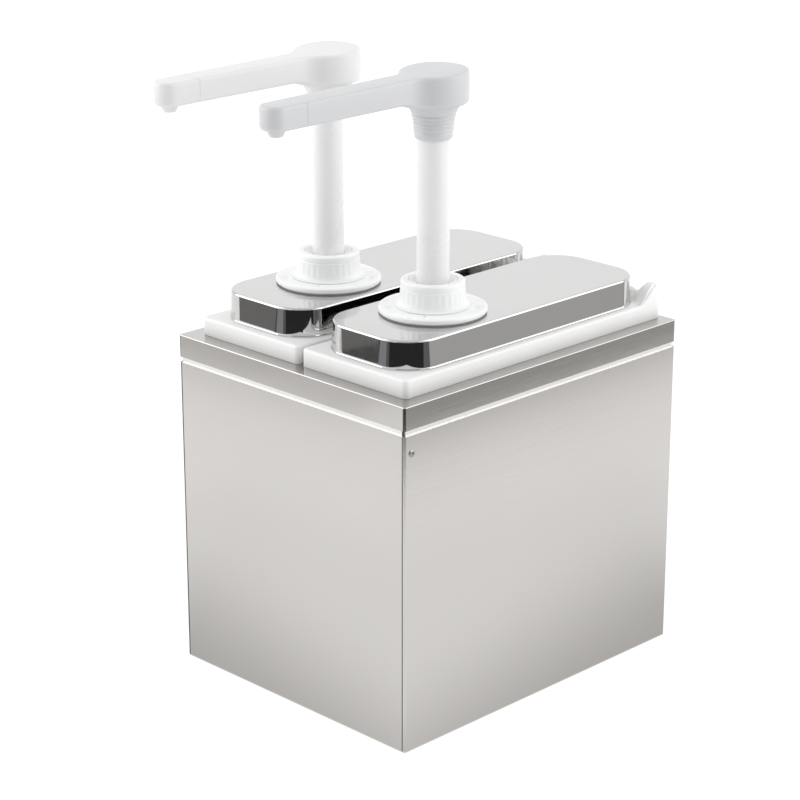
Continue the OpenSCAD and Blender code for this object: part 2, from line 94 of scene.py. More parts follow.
SHARP_DEG = 38              # edges bent by more than this stay sharp
ON_AXIS = 1e-6              # a lathe's point nearer to its axis than this is one point
SHEET = 1.0 * MM            # thickness of the case's sheet
CORNER_R = 1.6 * MM         # outer bend of the case's upright corners
RETURN_W = 1.5 * MM         # width of the wrap's return onto the front
SEAM = 0.8 * MM             # gap between the return and the front panel
SEAM_LAP = 0.2 * MM         # how far the dark strip of painted shade behind the gap reaches past it
RIM_SEAM_X = 1.35 * MM      # the rim's corner seam, in from its side
RIM_SEAM_W = 0.6 * MM
BEAD = 0.4 * MM             # how far the lid's rolled foot stands out
LID_CORNER_R = 24.5 * MM
STEM_SLIP = 0.05 * MM       # gap between the stem and what it slides in


# ---- Mesh tools ----

def fillet(corners, closed=True, steps=6):
    """Polyline through (x, y, radius) corners, each corner an arc of its radius."""
    line = []
    count = len(corners)
    for i, (x, y, radius) in enumerate(corners):
        end = not closed and i in (0, count - 1)
        if radius <= 0 or end:
            line.append((x, y))
            continue
        here = Vector((x, y))
        back = (Vector(corners[i - 1][:2]) - here).normalized()
        on = (Vector(corners[(i + 1) % count][:2]) - here).normalized()
        half = back.angle(on) / 2
        centre = here + (back + on).normalized() * radius / math.sin(half)
        first = here + back * radius / math.tan(half) - centre
        last = here + on * radius / math.tan(half) - centre
        start = math.atan2(first.y, first.x)
        turn = math.atan2(last.y, last.x) - start
        turn = (turn + math.pi) % math.tau - math.pi
        for k in range(steps + 1):
            angle = start + turn * k / steps
            line.append((centre.x + radius * math.cos(angle), centre.y + radius * math.sin(angle)))
    return line


def make_piece(name, verts, faces, sharp_deg=SHARP_DEG):
    """Mesh object from points and faces, with outward normals, smooth but for its sharp edges."""
    mesh = bpy.data.meshes.new(name)
    mesh.from_pydata([tuple(v) for v in verts], [], faces)
    work = bmesh.new()
    work.from_mesh(mesh)
    bmesh.ops.remove_doubles(work, verts=work.verts, dist=1e-7)
    bmesh.ops.recalc_face_normals(work, faces=work.faces)
    work.to_mesh(mesh)
    work.free()
    mesh.shade_smooth()
    mesh.set_sharp_from_angle(angle=math.radians(sharp_deg))
    piece = bpy.data.objects.new(name, mesh)
    bpy.context.scene.collection.objects.link(piece)
    return piece


def stitch(rings, closed):
    """Quads between neighbouring rings of the same length; rings are lists of point indices."""
    faces = []
    count = len(rings)
    for a in range(count if closed else count - 1):
        low, high = rings[a], rings[(a + 1) % count]
        if len(low) == 1 and len(high) == 1:
            continue
        size = max(len(low), len(high))
        for k in range(size):
            n = (k + 1) % size
            if len(low) == 1:
                faces.append((low[0], high[n], high[k]))
            elif len(high) == 1:
                faces.append((low[k], low[n], high[0]))
            else:
                faces.append((low[k], low[n], high[n], high[k]))
    return faces


def lathe(name, profile, axis, segments=128, wave=None, closed=True):
    """Solid of revolution about a vertical axis, from a loop of (radius, height) points."""
    verts, rings = [], []
    for radius, height in profile:
        if radius < ON_AXIS:
            rings.append([len(verts)])
            verts.append((axis.x, axis.y, height))
            continue
        ring = []
        for k in range(segments):
            angle = math.tau * k / segments
            reach = radius if wave is None else wave(angle, radius, height)
            ring.append(len(verts))
            verts.append((axis.x + reach * math.cos(angle), axis.y + reach * math.sin(angle), height))
        rings.append(ring)
    return make_piece(name, verts, stitch(rings, closed))


def loft(name, rings, closed=False, sharp_deg=SHARP_DEG):
    """Solid through rings of 3-D points; its ends are capped, or joined when closed."""
    verts, index = [], []
    for ring in rings:
        index.append(list(range(len(verts), len(verts) + len(ring))))
        verts.extend(ring)
    faces = stitch(index, closed)
    if not closed:
        faces.append(tuple(index[0]))
        faces.append(tuple(index[-1]))
    return make_piece(name, verts, faces, sharp_deg)


def plan_ring(x0, x1, y0, y1, radius, inset=0.0, corner_steps=10, side_steps=1, end_steps=1):
    """Rectangle with round corners, seen from above, moved inwards by inset. Starts at the front's right."""
    radius = max(radius - inset, 0.05 * MM)
    x0, x1, y0, y1 = x0 + inset, x1 - inset, y0 + inset, y1 - inset
    points = []
    corners = [(x1 - radius, y0 + radius, -90, side_steps, True),
               (x1 - radius, y1 - radius, 0, end_steps, False),
               (x0 + radius, y1 - radius, 90, side_steps, True),
               (x0 + radius, y0 + radius, 180, end_steps, False)]
    for i, (cx, cy, start, steps, long_side) in enumerate(corners):
        for k in range(corner_steps + 1):
            angle = math.radians(start + 90 * k / corner_steps)
            points.append(Vector((cx + radius * math.cos(angle), cy + radius * math.sin(angle))))
        nx, ny, nstart = corners[(i + 1) % 4][:3]
        nangle = math.radians(nstart)
        after = Vector((nx + radius * math.cos(nangle), ny + radius * math.sin(nangle)))
        before = points[-1]
        for k in range(1, steps):
            share = k / steps
            if long_side:
                share = (1 - math.cos(math.pi * share)) / 2
            points.append(before.lerp(after, share))
    return points


def raised(ring, height):
    return [Vector((p.x, p.y, height)) for p in ring]


def soften(piece, width, angle_deg):
    """Small round on the piece's edges that are bent by more than the angle."""
    bevel = piece.modifiers.new("edge_round", "BEVEL")
    bevel.width = width
    bevel.segments = 2
    bevel.limit_method = "ANGLE"
    bevel.angle_limit = math.radians(angle_deg)
    bevel.harden_normals = True


def carve(piece, cutter):
    """Takes the cutter's volume out of the piece, and removes the cutter."""
    boolean = piece.modifiers.new("carve", "BOOLEAN")
    boolean.object = cutter
    boolean.operation = "DIFFERENCE"
    boolean.solver = "EXACT"
    graph = bpy.context.evaluated_depsgraph_get()
    mesh = bpy.data.meshes.new_from_object(piece.evaluated_get(graph))
    piece.modifiers.clear()
    piece.data = mesh
    bpy.data.objects.remove(cutter)
    mesh.shade_smooth()
    mesh.set_sharp_from_angle(angle=math.radians(SHARP_DEG))


def place(piece, body, slot, material, *nodes):
    """Fixes a finished piece to its body and gives it its material; a steel slot also gets flat faces, and
    the nodes it stands for are hidden.
    """
    piece.data.materials.clear()
    piece.data.materials.append(material)
    if slot.endswith("steel"):
        flat = piece.modifiers.new("flat_faces", "WEIGHTED_NORMAL")
        flat.keep_sharp = True
    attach(piece, body)
    if nodes:
        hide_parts(*nodes)


# ---- Materials ----

class Shader:
    """A new material with a Principled shader and the few node chains that this object needs."""

    def __init__(self, name, **sockets):
        self.material = bpy.data.materials.new(name)
        self.material.use_nodes = True
        self.nodes = self.material.node_tree.nodes
        self.links = self.material.node_tree.links
        self.shader = self.nodes["Principled BSDF"]
        for socket, value in sockets.items():
            self.shader.inputs[socket.replace("_", " ")].default_value = value
        self.place = self.nodes.new("ShaderNodeTexCoord").outputs["Object"]

    def stretched(self, scale):
        mapping = self.nodes.new("ShaderNodeMapping")
        mapping.inputs["Scale"].default_value = scale
        self.links.new(self.place, mapping.inputs["Vector"])
        return mapping.outputs["Vector"]

    def noise(self, scale, detail=3.0, rough=0.55, where=None):
        noise = self.nodes.new("ShaderNodeTexNoise")
        noise.inputs["Scale"].default_value = scale
        noise.inputs["Detail"].default_value = detail
        noise.inputs["Roughness"].default_value = rough
        self.links.new(where or self.place, noise.inputs["Vector"])
        return noise.outputs["Fac"]

    def ranged(self, value, low, high, from_low=0.3, from_high=0.7):
        fit = self.nodes.new("ShaderNodeMapRange")
        fit.inputs["From Min"].default_value = from_low
        fit.inputs["From Max"].default_value = from_high
        fit.inputs["To Min"].default_value = low
        fit.inputs["To Max"].default_value = high
        self.links.new(value, fit.inputs["Value"])
        return fit.outputs["Result"]

    def tint(self, value, dark, light):
        mix = self.nodes.new("ShaderNodeMix")
        mix.data_type = "RGBA"
        mix.inputs["A"].default_value = (*dark, 1)
        mix.inputs["B"].default_value = (*light, 1)
        self.links.new(value, mix.inputs["Factor"])
        self.links.new(mix.outputs["Result"], self.shader.inputs["Base Color"])

    def roughness(self, value):
        self.links.new(value, self.shader.inputs["Roughness"])

    def bump(self, height, strength, distance):
        bump = self.nodes.new("ShaderNodeBump")
        bump.inputs["Strength"].default_value = strength
        bump.inputs["Distance"].default_value = distance
        self.links.new(height, bump.inputs["Height"])
        self.links.new(bump.outputs["Normal"], self.shader.inputs["Normal"])


def brushed_steel(name, dark, light, rough, grain, grain_scale):
    """Stainless sheet: grain is the direction of the brushing, as an axis to stretch along."""
    s = Shader(name, Metallic=1.0)
    scale = [1.0, 1.0, 1.0]
    for axis in grain:
        scale[axis] = 0.02
    fine = s.noise(grain_scale, 2.0, 0.6, s.stretched(scale))
    broad = s.noise(9, 2.0, 0.5)
    s.tint(s.ranged(broad, 0.0, 1.0), dark, light)
    s.roughness(s.ranged(fine, rough - 0.02, rough + 0.02))
    s.bump(fine, 0.008, 0.0001)
    return s.material


def polished_steel(name, colour_low, colour_high, rough):
    s = Shader(name, Metallic=1.0)
    haze = s.noise(22, 4.0, 0.6)
    wipe = s.noise(260, 2.0, 0.5, s.stretched((1.0, 0.06, 1.0)))
    s.tint(s.ranged(haze, 0.0, 1.0), colour_low, colour_high)
    s.roughness(s.ranged(wipe, rough - 0.02, rough + 0.03))
    s.bump(s.noise(14, 1.0, 0.4), 0.02, 0.001)
    return s.material


def moulded_plastic(name, dark, light, rough):
    """Satin moulded plastic: faint flow variation, fine moulded skin, rubbed places."""
    s = Shader(name, Subsurface_Weight=0.12, Subsurface_Scale=0.004, IOR=1.49)
    s.shader.inputs["Subsurface Radius"].default_value = (1.0, 0.95, 0.9)
    flow = s.noise(18, 3.0, 0.55)
    s.tint(s.ranged(flow, 0.0, 1.0), dark, light)
    s.roughness(s.ranged(s.noise(60, 4.0, 0.6), rough - 0.05, rough + 0.06))
    s.bump(s.noise(1400, 2.0, 0.6), 0.05, 0.0002)
    return s.material


def seal_rubber(name, dark, light):
    s = Shader(name, IOR=1.5)
    s.tint(s.ranged(s.noise(40, 3.0), 0.0, 1.0), dark, light)
    s.roughness(s.ranged(s.noise(90, 3.0), 0.55, 0.75))
    s.bump(s.noise(1200, 2.0), 0.15, 0.0002)
    return s.material


def make_materials():
    """Every finish by name; each row holds the values that its maker takes after the name."""
    along_y_and_x, along_z = (0, 1), (2,)
    steels = {
        "case_steel": ((0.595, 0.575, 0.555), (0.605, 0.585, 0.565), 0.2, along_y_and_x, 1300),
        "rim_steel": ((0.53, 0.515, 0.50), (0.55, 0.535, 0.52), 0.12, along_y_and_x, 1500),
        "neck_steel": ((0.90, 0.895, 0.885), (0.94, 0.935, 0.925), 0.3, along_y_and_x, 1500),
        "rivet_steel": ((0.36, 0.355, 0.345), (0.44, 0.435, 0.42), 0.25, along_z, 1800),
        "spring_steel": ((0.5, 0.5, 0.5), (0.6, 0.6, 0.6), 0.28, along_z, 2500),
    }
    polished = {
        "lid_steel": ((0.615, 0.615, 0.61), (0.64, 0.64, 0.635), 0.05),
        "ball_steel": ((0.74, 0.74, 0.75), (0.8, 0.8, 0.8), 0.12),
    }
    plastics = {
        "container_white": ((0.82, 0.82, 0.815), (0.85, 0.85, 0.845), 0.42),
        "pump_white": ((0.84, 0.845, 0.845), (0.88, 0.885, 0.885), 0.32),
        "stem_white": ((0.78, 0.78, 0.785), (0.80, 0.80, 0.805), 0.3),
        "natural_plastic": ((0.68, 0.7, 0.69), (0.76, 0.77, 0.76), 0.36),
        "head_white": ((0.73, 0.73, 0.735), (0.75, 0.75, 0.755), 0.34),
        "head_grey": ((0.578, 0.583, 0.593), (0.598, 0.603, 0.613), 0.36),
    }
    rubbers = {
        "seal_grey": ((0.66, 0.66, 0.665), (0.72, 0.72, 0.725)),
        # near-black finish that paints the shade inside the gap of the case's right seam
        "seam_dark": ((0.03, 0.03, 0.03), (0.05, 0.05, 0.05)),
    }
    made = {}
    for maker, finishes in ((brushed_steel, steels), (polished_steel, polished),
                            (moulded_plastic, plastics), (seal_rubber, rubbers)):
        for name, values in finishes.items():
            made[name] = maker(name, *values)
    return made


MATERIALS = make_materials()


# ---- Case ----

def sheet_section(z0, z1):
    """Section of an upright sheet: (inset, height) loop with a rounded outer top edge."""
    return fillet([(0, z0, 0.3 * MM), (0, z1, 0.2 * MM), (SHEET, z1, 0), (SHEET, z0, 0)], steps=4)


def upright_sheet(name, line_at, section):
    """Sheet that follows an open plan line; line_at(inset) gives that line moved into the sheet."""
    verts, index = [], []
    for inset, height in section:
        line = line_at(inset)
        index.append(list(range(len(verts), len(verts) + len(line))))
        verts.extend((p[0], p[1], height) for p in line)
    faces = []
    for a, row in enumerate(index):
        above = index[(a + 1) % len(index)]
        for k in range(len(row) - 1):
            faces.append((row[k], row[k + 1], above[k + 1], above[k]))
    faces.append(tuple(row[0] for row in index))
    faces.append(tuple(row[-1] for row in index))
    return make_piece(name, verts, faces)


def wrap_line(inset):
    """Plan line of the wrap: from the left return, round the back, to the right return."""
    x, y0, y1 = CASE_HIGH.x - inset, CASE_LOW.y + inset, CASE_HIGH.y - inset
    radius = CORNER_R - inset
    end = CASE_HIGH.x - RETURN_W
    return fillet([(-end, y0, 0), (-x, y0, radius), (-x, y1, radius), (x, y1, radius), (x, y0, radius),
                   (end, y0, 0)], closed=False, steps=10)


def panel_line(inset):
    half = CASE_HIGH.x - RETURN_W - SEAM
    return [(-half, PANEL_LOW.y + inset), (half, PANEL_LOW.y + inset)]


def build_case():
    """Wrap, front panel, a dark strip behind their right seam that paints the shade in the gap, then the rim
    and the rivets.
    """
    steel = MATERIALS["case_steel"]
    wrap = upright_sheet("case_wrap_sheet", wrap_line, sheet_section(CASE_LOW.z, CASE_HIGH.z))
    place(wrap, "case", "case_steel", steel, "case_wrap")
    panel = upright_sheet("front_panel_sheet", panel_line, sheet_section(PANEL_LOW.z, PANEL_HIGH.z))
    place(panel, "case", "case_steel", steel, "front_panel")
    near, far = CASE_HIGH.x - RETURN_W - SEAM - SEAM_LAP, CASE_HIGH.x - RETURN_W + SEAM_LAP
    # Dark strip set into the right seam's gap: painted shade, standing in for the shadow inside the gap
    set_back = 0.3 * MM
    outer, inner = CASE_LOW.y + set_back, CASE_LOW.y + SHEET + set_back
    plan = [Vector((near, outer)), Vector((far, outer)), Vector((far, inner)), Vector((near, inner))]
    seam_shade_strip = loft("painted_seam_shade_right", [raised(plan, z) for z in (CASE_LOW.z + 1 * MM, RIM_LOW.z)])
    place(seam_shade_strip, "case", "case_steel", MATERIALS["seam_dark"])
    build_rim()
    build_rivets()


def build_rim():
    """Folded rim: round outer top edge, band, inner turned edge round two openings."""
    x, y = RIM_HIGH.x, RIM_HIGH.y
    top, foot = RIM_HIGH.z, RIM_LOW.z
    bend = 0.55 * MM
    plate = 1.2 * MM
    foot_r = 0.3 * MM
    bend_steps = 6

    def ring(inset, height):
        return raised(plan_ring(-x, x, -y, y, CORNER_R, inset, corner_steps=12), height)

    rings = [ring(SHEET, top - plate), ring(SHEET, foot + foot_r), ring(SHEET - foot_r, foot),
             ring(foot_r, foot), ring(0, foot + foot_r), ring(0, top - bend)]
    for k in range(1, bend_steps + 1):
        angle = math.radians(90 * k / bend_steps)
        rings.append(ring(bend * (1 - math.cos(angle)), top - bend * (1 - math.sin(angle))))
    rim = loft("top_rim_frame", rings)
    for side in UNITS:
        x0, x1, y0, y1 = Unit(side).lid
        inset = BEAD + 0.1 * MM
        plan = plan_ring(x0 + inset, x1 - inset, y0 + inset, y1 - inset, 24 * MM, 0, corner_steps=16)
        carve(rim, loft("rim_cutter", [raised(plan, z) for z in (top - 4 * MM, top + 2 * MM)]))
    seam_out, seam_in = -y - 1 * MM, -y + 0.7 * MM
    for sign in (-1, 1):
        seam_x = sign * (x - RIM_SEAM_X)
        right, left = seam_x + RIM_SEAM_W / 2, seam_x - RIM_SEAM_W / 2
        plan = [Vector((left, seam_out)), Vector((right, seam_out)), Vector((right, seam_in)),
                Vector((left, seam_in))]
        carve(rim, loft("rim_seam_cutter", [raised(plan, z) for z in (foot - 1 * MM, top - bend)]))
    place(rim, "case", "rim_steel", MATERIALS["rim_steel"], "top_rim")


def build_rivets():
    """Blind rivets: a low dome with the hollow of the pulled mandrel."""
    radius = (RIVETS_HIGH.z - RIVETS_LOW.z) / 2
    centre = (RIVETS_LOW + RIVETS_HIGH) / 2
    shank_r, shank, segments = radius * 0.68, -1.6 * MM, 40
    profile = fillet([(0, shank, 0), (shank_r, shank, 0), (shank_r, 0, 0), (radius, 0, 0),
                      (radius, 0.35 * MM, 0.25 * MM), (radius * 0.52, 0.85 * MM, 0.3 * MM),
                      (radius * 0.4, 0.1 * MM, 0.1 * MM), (radius * 0.3, 0.15 * MM, 0.1 * MM),
                      (0, 0.3 * MM, 0)], closed=False, steps=4)
    verts, faces = [], []
    for sign in (-1, 1):
        rings = []
        for r, out in profile:
            ring = []
            for k in range(1 if r < ON_AXIS else segments):
                angle = math.tau * k / segments
                ring.append(len(verts))
                verts.append((sign * (CASE_HIGH.x + out), centre.y + r * math.cos(angle),
                              centre.z + r * math.sin(angle)))
            rings.append(ring)
        faces.extend(stitch(rings, False))
    pair = make_piece("rivet_pair", verts, faces)
    place(pair, "case", "rivet_steel", MATERIALS["rivet_steel"], "rivets")


# ---- Containers ----

# The back lip of a container: an ear at each back corner, and a low rise in the middle of the back edge.
EAR = {"width": 21 * MM, "peak": 5.5 * MM, "side": 9.0 * MM, "inset": 0.4 * MM, "crest": 2.5 * MM,
       "run": 17 * MM}
WAVE = {"height": 5 * MM, "flat": 20 * MM, "end": 34 * MM, "crest": 1.5 * MM, "run": 6.5 * MM}
LIP_TO_LID = 3.8 * MM       # the lip dies away over this distance from the lid


def swell(share):
    """Smooth step down from 1 at share 0 to 0 at share 1."""
    return (1 + math.cos(math.pi * max(0.0, min(1.0, share)))) / 2


def beside_lid(unit, x, y):
    """Distance of a place on the flange from the lid's outline."""
    x0, x1, y0, y1 = unit.lid
    radius = LID_CORNER_R
    across = abs(x - (x0 + x1) / 2) - ((x1 - x0) / 2 - radius)
    along = abs(y - (y0 + y1) / 2) - ((y1 - y0) / 2 - radius)
    return math.hypot(max(across, 0.0), max(along, 0.0)) + min(max(across, along), 0.0) - radius


def lip_height(unit, x, y):
    """Height of the back lip's surface above the deck at a place on the flange."""
    x0, x1, _, back = unit.flange
    half = (x1 - x0) / 2 - EAR["inset"]
    inward = max(0.0, half - abs(x - unit.centre_x))
    ear_h = unit.ear_top - unit.deck
    if inward < EAR["peak"]:
        round_off = math.sqrt(1 - (1 - inward / EAR["peak"]) ** 2)
        ear = EAR["side"] + (ear_h - EAR["side"]) * round_off
    else:
        ear = ear_h * swell((inward - EAR["peak"]) / (EAR["width"] - EAR["peak"]))
    wave = WAVE["height"] * swell((half - inward - WAVE["flat"]) / (WAVE["end"] - WAVE["flat"]))
    depth = max(0.0, back - y)
    ear *= swell((depth - EAR["crest"]) / EAR["run"])
    wave *= swell((depth - WAVE["crest"]) / WAVE["run"])
    return max(ear, wave) * (1 - swell(beside_lid(unit, x, y) / LIP_TO_LID))


def build_container(unit):
    """Moulded tub: deep flange with a raised lip at the back, and an inner wall that the lid covers."""
    x0, x1, y0, y1 = unit.flange
    lx0, lx1, ly0, ly1 = unit.lid
    wall, edge, lean = 2.5 * MM, 1.7 * MM, 0.14
    rim_top = RIM_HIGH.z
    slip = BEAD + 1.5 * MM
    flange_r, tub_r = 3.5 * MM, 23 * MM
    skirt, foot_r, past_centre = 2.2 * MM, 0.3 * MM, 20 * MM
    edge_steps, deck_steps = 6, 14
    steps = dict(corner_steps=12, side_steps=30, end_steps=36)

    def flange(inset):
        return plan_ring(x0, x1, y0, y1, flange_r, inset, **steps)

    def tub(inset):
        return plan_ring(lx0 + slip, lx1 - slip, ly0 + slip, ly1 - slip, tub_r, inset, **steps)

    def between(a, b, share):
        return [p.lerp(q, share) for p, q in zip(a, b)]

    outer = flange(0)
    rise = [lip_height(unit, p.x, p.y) for p in outer]

    def edge_ring(inset, drop):
        """Ring on the rounded top edge: it follows the lip, and leans in where the lip stands up."""
        ring = []
        for p, q, h in zip(outer, flange(min(flange_r - 0.2 * MM, 3 * MM)), rise):
            inward = (q - p).normalized()
            here = p + inward * (inset + lean * h)
            ring.append(Vector((here.x, here.y, unit.deck - drop + h)))
        return ring

    rings = []
    tub_foot = unit.tub_floor
    for inset, height in fillet([(2 * past_centre, tub_foot, 0), (0, tub_foot, 5 * MM),
                                 (0, unit.deck - wall, 0)], closed=False, steps=6):
        rings.append(raised(tub(min(inset, past_centre)), height))
    for inset, height in ((skirt, unit.deck - wall), (skirt, rim_top + 0.2 * MM), (2.0 * MM, rim_top),
                          (foot_r, rim_top), (0.0, rim_top + foot_r), (0.0, unit.deck - edge - 1.5 * MM)):
        rings.append(raised(flange(inset), height))
    for k in range(edge_steps + 1):
        angle = math.radians(90 * k / edge_steps)
        rings.append(edge_ring(edge * (1 - math.cos(angle)), edge * (1 - math.sin(angle))))
    crest = [Vector((p.x, p.y)) for p in rings[-1]]
    lip = tub(-0.6 * MM)
    for k in range(1, deck_steps + 1):
        ring = between(crest, lip, k / deck_steps)
        rings.append([Vector((p.x, p.y, unit.deck + lip_height(unit, p.x, p.y))) for p in ring])
    lip_top = unit.deck + 6 * MM
    for inset, height in fillet([(0, unit.deck + 0.4 * MM, 0), (0, lip_top, 0.8 * MM),
                                 (wall, lip_top, 0.8 * MM), (wall, tub_foot + wall, 4 * MM),
                                 (2 * past_centre, tub_foot + wall, 0)], closed=False, steps=5):
        rings.append(raised(tub(min(inset, past_centre)), height))
    piece = loft(f"container_{unit.side}_tub", rings, sharp_deg=50)
    place(piece, f"container_{unit.side}", "container_white", MATERIALS["container_white"],
          f"container_{unit.side}")


# ---- Lids ----

LID_DRAFT_DEG = 2.0


def build_lid(unit):
    """Deep-drawn lid: flat top, tight round edge, straight sides, small outward roll at the foot."""
    x0, x1, y0, y1 = unit.lid
    x0, x1, y0, y1 = x0 + BEAD, x1 - BEAD, y0 + BEAD, y1 - BEAD
    radius, sheet, edge = LID_CORNER_R, 0.9 * MM, 1.4 * MM
    top, foot = unit.lid_top, unit.deck
    draft = (top - foot) * math.tan(math.radians(LID_DRAFT_DEG))

    def ring(inset, height):
        return raised(plan_ring(x0, x1, y0, y1, radius, inset, corner_steps=32), height)

    outline = [(edge + 6 * MM, top - sheet, 0), (sheet + draft, top - sheet, edge - sheet),
               (sheet, foot + 0.2 * MM, 0),
               (sheet * 0.6, foot, 0), (-BEAD * 0.6, foot, 0.1 * MM), (-BEAD, foot + 0.6 * MM, 0.4 * MM),
               (-BEAD * 0.6, foot + 1.2 * MM, 0.1 * MM), (0, foot + 1.35 * MM, 0.1 * MM), (draft, top, edge),
               (edge + 6 * MM, top, 0)]
    rings = [ring(inset, height) for inset, height in fillet(outline, closed=False, steps=8)]
    lid = loft(f"lid_{unit.side}_shell", rings, sharp_deg=32)
    hole_r, below, above = 17.5 * MM, top - 3 * MM, top + 3 * MM
    cutter = lathe("lid_cutter", [(0, below), (hole_r, below), (hole_r, above), (0, above)],
                   unit.axis, 96, closed=False)
    carve(lid, cutter)
    place(lid, f"lid_{unit.side}", "lid_steel", MATERIALS["lid_steel"], f"lid_{unit.side}")


# ---- Pump body ----

VENT = {"angle": math.radians(-57), "reach": 25 * MM, "radius": 1.0 * MM}
DIMPLES = (math.radians(-120), math.radians(30))


def build_base(unit):
    """Round flange with a soft hub, a vent hole and two shallow lens-shaped recesses."""
    low, high = unit.base
    base_r = (high.x - low.x) / 2
    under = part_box(f"base_gasket_{unit.side}")[1].z
    face = under + 3.2 * MM
    neck_r, bore_r, hub_r = 17 * MM, 13.2 * MM, 21.6 * MM
    hub_top = unit.collar[0].z - 0.15 * MM
    profile = fillet([(bore_r, low.z, 0), (neck_r, low.z, 0.4 * MM), (neck_r, under, 0),
                      (base_r - 1.2 * MM, under, 0), (base_r, under, 0.7 * MM), (base_r, face, 1.3 * MM),
                      (base_r - 6 * MM, face + 0.05 * MM, 0), (hub_r, face + 0.1 * MM, 0.3 * MM),
                      (hub_r, hub_top, 0.3 * MM), (neck_r, hub_top, 0), (neck_r, high.z, 0.3 * MM),
                      (bore_r, high.z, 0.3 * MM)], steps=6)
    face_steps = 14
    dense = []
    for (r0, z0), (r1, z1) in zip(profile, profile[1:]):
        dense.append((r0, z0))
        flat = abs(z1 - z0) < 0.2 * MM and min(r0, r1) > hub_r - 1 * MM and z0 > face - 0.5 * MM
        for k in range(1, face_steps if flat else 1):
            dense.append((r0 + (r1 - r0) * k / face_steps, z0 + (z1 - z0) * k / face_steps))
    dense.append(profile[-1])
    piece = lathe(f"pump_base_{unit.side}_flange", dense, unit.axis, 192)
    for angle in DIMPLES:
        sink(piece, unit.axis, angle, 26.3 * MM, (5.0 * MM, 3.2 * MM), 0.75 * MM, face - 0.3 * MM)
    hole = unit.axis + Vector((math.cos(VENT["angle"]), math.sin(VENT["angle"]))) * VENT["reach"]
    r = VENT["radius"]
    cutter = lathe("vent_cutter", [(0, face - 2 * MM), (r, face - 2 * MM), (r, face - 0.35 * MM),
                                   (r * 1.5, face + 1 * MM), (0, face + 1 * MM)], hole, 32, closed=False)
    carve(piece, cutter)
    place(piece, f"lid_{unit.side}", "pump_white", MATERIALS["pump_white"], f"pump_base_{unit.side}")


def sink(piece, axis, angle, reach, size, depth, above):
    """Presses a shallow lens-shaped recess into a lathe's flat top."""
    centre = axis + Vector((math.cos(angle), math.sin(angle))) * reach
    along = Vector((-math.sin(angle), math.cos(angle)))
    across = Vector((math.cos(angle), math.sin(angle)))
    for v in piece.data.vertices:
        if v.co.z < above:
            continue
        away = Vector((v.co.x, v.co.y)) - centre
        share = (away.dot(along) / size[0]) ** 2 + (away.dot(across) / size[1]) ** 2
        if share < 1:
            v.co.z -= depth * (1 - share) ** 1.5


def build_collar(unit):
    """Screw collar: soft grip ribs, a groove under the plain top band, a round top edge."""
    low, high = unit.collar
    foot_r, top = (high.x - low.x) / 2, high.z
    top_r = 19.3 * MM
    bore_r, recess_r = 17.05 * MM, 14.6 * MM
    shelf = unit.base[1].z + 4.4 * MM
    rib_top = top - 4.6 * MM
    rib_count, rib_depth = 30, 0.26 * MM
    skirt_r = foot_r + 2.2 * MM
    profile = fillet([(recess_r, shelf, 0), (bore_r, shelf, 0), (bore_r, low.z, 0),
                      (skirt_r, low.z, 0.2 * MM), (skirt_r, low.z + 0.6 * MM, 0.25 * MM),
                      (foot_r - 0.4 * MM, low.z + 0.8 * MM, 2.4 * MM),
                      (foot_r - 0.9 * MM, rib_top - 1.2 * MM, 0), (foot_r - 1.0 * MM, rib_top, 0.4 * MM),
                      (foot_r - 1.45 * MM, rib_top + 0.4 * MM, 0.2 * MM),
                      (top_r, rib_top + 0.9 * MM, 0.2 * MM), (top_r, top, 1.3 * MM),
                      (recess_r, top, 0.6 * MM)], steps=6)
    dense = []
    for (r0, z0), (r1, z1) in zip(profile, profile[1:] + profile[:1]):
        dense.append((r0, z0))
        pieces = 12 if abs(z1 - z0) > 4 * MM and min(r0, r1) > bore_r + 1 * MM else 1
        for k in range(1, pieces):
            dense.append((r0 + (r1 - r0) * k / pieces, z0 + (z1 - z0) * k / pieces))

    def ribs(angle, radius, height):
        if radius < bore_r + 1 * MM:
            return radius
        fade_in = max(0.0, min(1.0, (height - low.z - 2.6 * MM) / (2.0 * MM)))
        fade_out = max(0.0, min(1.0, (rib_top - height) / (0.8 * MM)))
        return radius - rib_depth * (0.5 - 0.5 * math.cos(rib_count * angle)) * fade_in * fade_out

    piece = lathe(f"collar_{unit.side}_ribbed", dense, unit.axis, rib_count * 10, ribs)
    place(piece, f"lid_{unit.side}", "pump_white", MATERIALS["pump_white"], f"collar_{unit.side}")


def build_guide(unit):
    """Guide bush: its dished top fills the collar's mouth round the stem."""
    low, high = unit.guide
    stem_r = (unit.stem[1].x - unit.stem[0].x) / 2 + STEM_SLIP
    flange_z = unit.base[1].z + 2.8 * MM
    top = high.z + 0.3 * MM
    profile = fillet([(stem_r, low.z, 0), (11.15 * MM, low.z, 0.3 * MM), (11.15 * MM, flange_z, 0),
                      (16.5 * MM, flange_z, 0.2 * MM), (16.5 * MM, flange_z + 1.8 * MM, 0.2 * MM),
                      (14.5 * MM, flange_z + 1.8 * MM, 0), (14.5 * MM, top, 0.25 * MM),
                      (13.6 * MM, top, 0.25 * MM), (11.2 * MM, top - 1.9 * MM, 1.2 * MM),
                      (stem_r, top - 2.0 * MM, 0.3 * MM)], steps=5)
    piece = lathe(f"stem_guide_{unit.side}_bush", profile, unit.axis, 128)
    place(piece, f"lid_{unit.side}", "pump_white", MATERIALS["pump_white"], f"stem_guide_{unit.side}")


# ---- Moving pump parts ----

def build_stem(unit):
    """Thick tube between the piston and the head."""
    low, high = unit.stem
    radius, bore_r = (high.x - low.x) / 2, 6 * MM
    profile = fillet([(bore_r, low.z, 0.2 * MM), (radius, low.z, 0.5 * MM), (radius, high.z, 0.5 * MM),
                      (bore_r, high.z, 0.2 * MM)], steps=4)
    piece = lathe(f"stem_{unit.side}_tube", profile, unit.axis, 160)
    place(piece, f"head_{unit.side}", "pump_white", MATERIALS["stem_white"], f"stem_{unit.side}")


